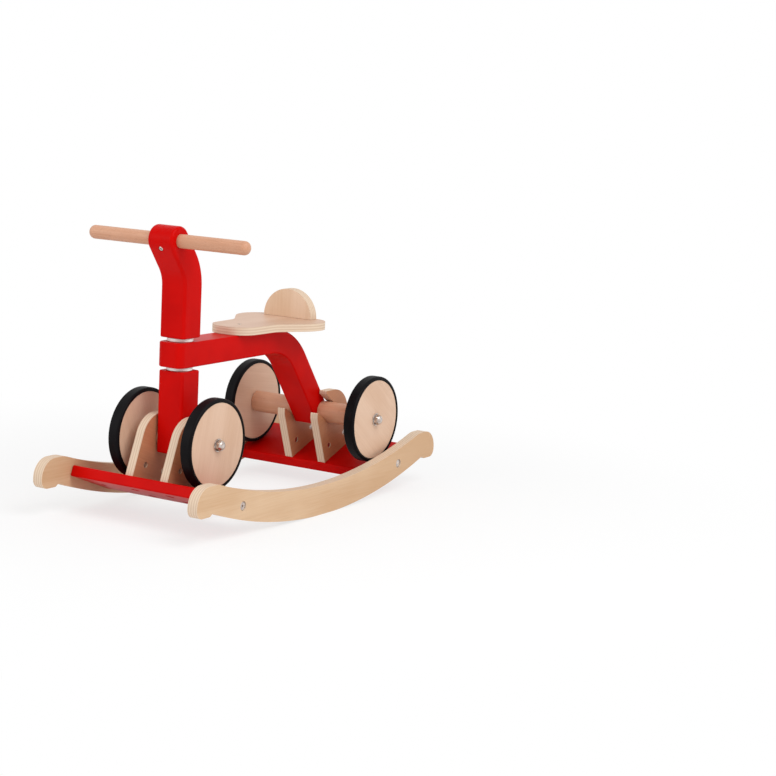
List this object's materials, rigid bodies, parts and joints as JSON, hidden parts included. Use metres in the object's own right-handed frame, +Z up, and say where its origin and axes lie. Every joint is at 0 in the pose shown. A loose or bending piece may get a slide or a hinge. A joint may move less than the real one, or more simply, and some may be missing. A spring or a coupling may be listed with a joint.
{
  "type": "rocking ride-on toy",
  "caption": "Wooden four-wheeled sit-on toy with a raked handlebar post, held by its axles in hooked cradles on a rocker base, its wheels clear of the floor.",
  "frame": {"origin": "on the floor, midway between the rockers and midway between the two axles", "axes": "X to the rider's left, -Y to the front (the handlebar end), +Z up"},
  "size_m": [0.323, 0.697, 0.4721],
  "materials": {
    "red_paint": "wood under glossy red paint",
    "birch_ply": "clear-lacquered pale birch plywood",
    "beech": "oiled turned beech",
    "rubber": "matt black",
    "zinc_steel": "bright zinc plate",
    "nylon": "white, smooth"
  },
  "bodies": {
    "base_and_frame": {"rocker_left": "birch_ply", "rocker_right": "birch_ply", "front_board": "red_paint", "rear_board": "red_paint", "front_cradle_left": "birch_ply", "front_cradle_right": "birch_ply", "front_rocker_screw_left": "zinc_steel", "front_rocker_screw_right": "zinc_steel", "front_cradle_bolt_left_inner": "zinc_steel", "front_cradle_bolt_left_outer": "zinc_steel", "front_cradle_bolt_right_inner": "zinc_steel", "front_cradle_bolt_right_outer": "zinc_steel", "rear_cradle_left": "birch_ply", "rear_cradle_right": "birch_ply", "rear_rocker_screw_left": "zinc_steel", "rear_rocker_screw_right": "zinc_steel", "rear_cradle_bolt_left_inner": "zinc_steel", "rear_cradle_bolt_left_outer": "zinc_steel", "rear_cradle_bolt_right_inner": "zinc_steel", "rear_cradle_bolt_right_outer": "zinc_steel", "frame_beam": "red_paint", "steering_bush": "nylon", "seat": "birch_ply", "seat_screw": "zinc_steel", "backrest": "birch_ply", "backrest_screw_left": "zinc_steel", "backrest_screw_right": "zinc_steel", "rear_axle": "zinc_steel", "rear_spacer_left": "beech", "rear_spacer_right": "beech", "rear_washer_left": "zinc_steel", "rear_washer_right": "zinc_steel", "rear_cap_nut_left": "zinc_steel", "rear_cap_nut_right": "zinc_steel"},
    "steering": {"handlebar_post": "red_paint", "handlebar": "beech", "handlebar_screw": "zinc_steel", "front_leg": "red_paint", "steering_spindle": "zinc_steel", "lower_steering_disc": "nylon", "upper_steering_disc": "nylon", "front_axle": "zinc_steel", "front_spacer_left": "beech", "front_spacer_right": "beech", "front_washer_left": "zinc_steel", "front_washer_right": "zinc_steel", "front_cap_nut_left": "zinc_steel", "front_cap_nut_right": "zinc_steel"},
    "front_left_wheel": {"front_left_wheel_disc": "birch_ply", "front_left_tyre": "rubber", "front_left_hub_bush": "nylon"},
    "front_right_wheel": {"front_right_wheel_disc": "birch_ply", "front_right_tyre": "rubber", "front_right_hub_bush": "nylon"},
    "rear_left_wheel": {"rear_left_wheel_disc": "birch_ply", "rear_left_tyre": "rubber", "rear_left_hub_bush": "nylon"},
    "rear_right_wheel": {"rear_right_wheel_disc": "birch_ply", "rear_right_tyre": "rubber", "rear_right_hub_bush": "nylon"}
  },
  "joints": [
    {"name": "steering_turn", "type": "hinge", "parent": "base_and_frame", "child": "steering", "pos_m": [0, -0.1912, 0.26674], "axis": [0, 0, 1], "range_deg": [-1.5, 1.5]},
    {"name": "front_left_wheel_spin", "type": "hinge", "parent": "steering", "child": "front_left_wheel", "pos_m": [0.0716, -0.1912, 0.12954], "axis": [1, 0, 0], "continuous": true},
    {"name": "front_right_wheel_spin", "type": "hinge", "parent": "steering", "child": "front_right_wheel", "pos_m": [-0.0716, -0.1912, 0.12954], "axis": [1, 0, 0], "continuous": true},
    {"name": "rear_left_wheel_spin", "type": "hinge", "parent": "base_and_frame", "child": "rear_left_wheel", "pos_m": [0.1251, 0.1912, 0.12954], "axis": [1, 0, 0], "continuous": true},
    {"name": "rear_right_wheel_spin", "type": "hinge", "parent": "base_and_frame", "child": "rear_right_wheel", "pos_m": [-0.1251, 0.1912, 0.12954], "axis": [1, 0, 0], "continuous": true}
  ]
}
